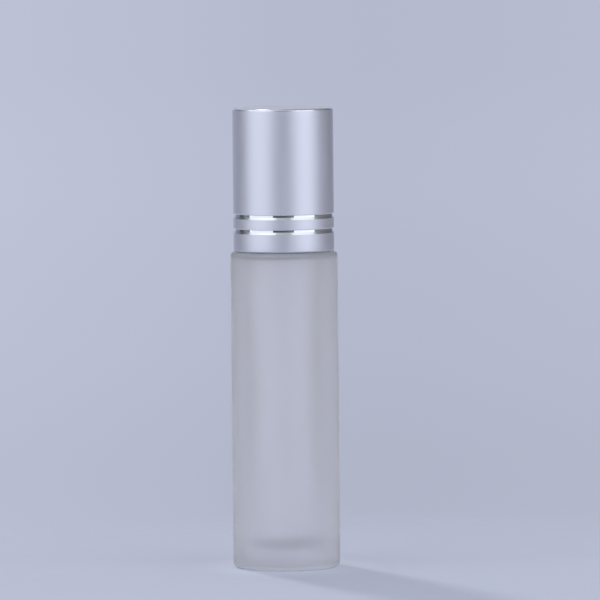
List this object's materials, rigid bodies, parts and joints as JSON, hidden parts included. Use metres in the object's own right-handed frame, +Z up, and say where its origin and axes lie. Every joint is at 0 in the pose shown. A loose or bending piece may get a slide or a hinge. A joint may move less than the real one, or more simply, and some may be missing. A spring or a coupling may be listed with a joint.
{
  "type": "roll on bottle",
  "caption": "Slim cylindrical frosted glass bottle with a steel roller ball in a press-in housing and a metal-shelled screw cap with bright-cut grooves.",
  "frame": {"origin": "centre of the base, on the surface that the bottle stands on", "axes": "+Z up along the bottle's axis towards the cap"},
  "size_m": [0.02, 0.02, 0.0861],
  "materials": {
    "frosted_glass": "acid-etched frosted outside, clear inside",
    "housing_plastic": "natural translucent moulded plastic",
    "ball_steel": "polished stainless steel",
    "pad_foam": "soft expanded plastic foam",
    "liner_plastic": "white moulded plastic",
    "shell_aluminium": "satin anodised with two bright-cut grooves"
  },
  "bodies": {
    "bottle": {"bottle": "frosted_glass", "roller_housing": "housing_plastic"},
    "ball": {"roller_ball": "ball_steel"},
    "seal": {"seal_pad": "pad_foam"},
    "cap": {"cap_liner": "liner_plastic", "cap_shell": "shell_aluminium"}
  },
  "joints": [
    {"name": "cap_rise", "type": "slide", "parent": "bottle", "child": "seal", "axis": [0, 0, 1], "range_m": [0, 0.018]},
    {"name": "cap_turn", "type": "hinge", "parent": "seal", "child": "cap", "pos_m": [0, 0, 0.0594], "axis": [0, 0, 1], "range_deg": [0, 2160]},
    {"name": "ball_roll", "type": "hinge", "parent": "bottle", "child": "ball", "pos_m": [0, 0, 0.0709], "axis": [1, 0, 0], "continuous": true}
  ],
  "couplings": [
    {"joint": "cap_rise", "follows": "cap_turn", "m_per_rad": 0.00047746}
  ]
}
